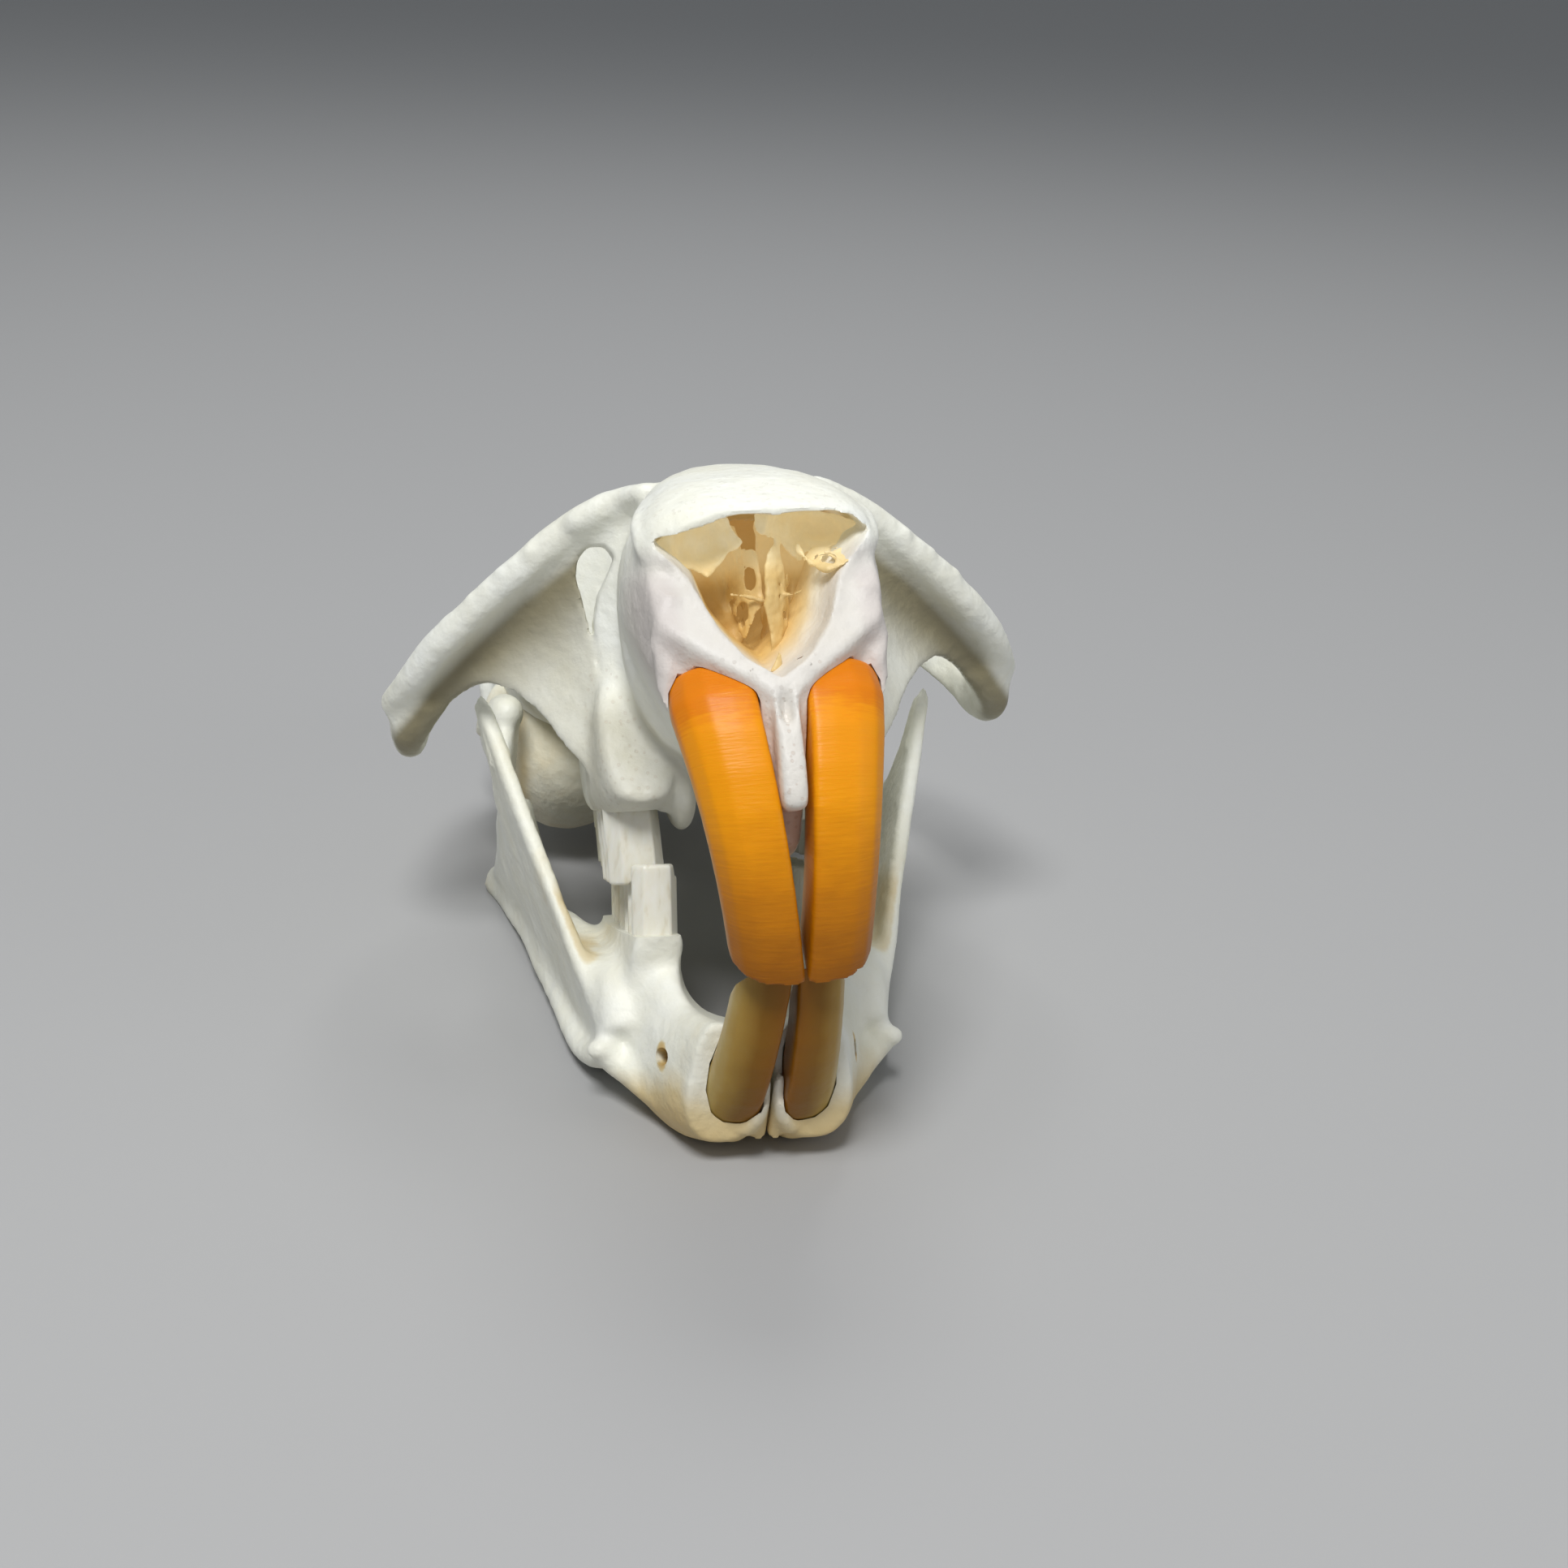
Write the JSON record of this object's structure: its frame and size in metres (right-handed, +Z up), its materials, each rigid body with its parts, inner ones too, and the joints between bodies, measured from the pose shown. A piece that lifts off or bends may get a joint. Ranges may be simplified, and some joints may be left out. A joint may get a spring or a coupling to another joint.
{
  "type": "muskrat skull",
  "caption": "Life-size rodent skull with closed jaws, long orange gnawing teeth, grooved cheek teeth, wide cheek arches and an open nose.",
  "frame": {"origin": "centre of the bounding box's underside, on the surface the skull lies on", "axes": "+Y runs back from the incisors to the occiput, +X to the skull's own left, +Z up; the skull lies nose up by 21.4 degrees on its chin and jaw angles"},
  "size_m": [0.0414, 0.0652, 0.0374],
  "materials": {
    "bone": "dry bleached bone, matt",
    "enamel_orange": "orange enamel, satin gloss",
    "enamel_amber": "brown amber enamel, satin gloss",
    "tooth_ivory": "ivory dentine and enamel, low gloss"
  },
  "bodies": {
    "root": {"face": "bone", "braincase": "bone", "bulla_left": "bone", "zygomatic_plate_left": "bone", "zygomatic_arch_left": "bone", "mandible_left": "bone", "turbinate_left": "bone", "upper_incisor_left": "enamel_orange", "lower_incisor_left": "enamel_amber", "upper_molar_1_left": "tooth_ivory", "upper_molar_2_left": "tooth_ivory", "upper_molar_3_left": "tooth_ivory", "lower_molar_1_left": "tooth_ivory", "lower_molar_2_left": "tooth_ivory", "lower_molar_3_left": "tooth_ivory", "bulla_right": "bone", "zygomatic_plate_right": "bone", "zygomatic_arch_right": "bone", "mandible_right": "bone", "turbinate_right": "bone", "upper_incisor_right": "enamel_orange", "lower_incisor_right": "enamel_amber", "upper_molar_1_right": "tooth_ivory", "upper_molar_2_right": "tooth_ivory", "upper_molar_3_right": "tooth_ivory", "lower_molar_1_right": "tooth_ivory", "lower_molar_2_right": "tooth_ivory", "lower_molar_3_right": "tooth_ivory"}
  },
  "joints": []
}
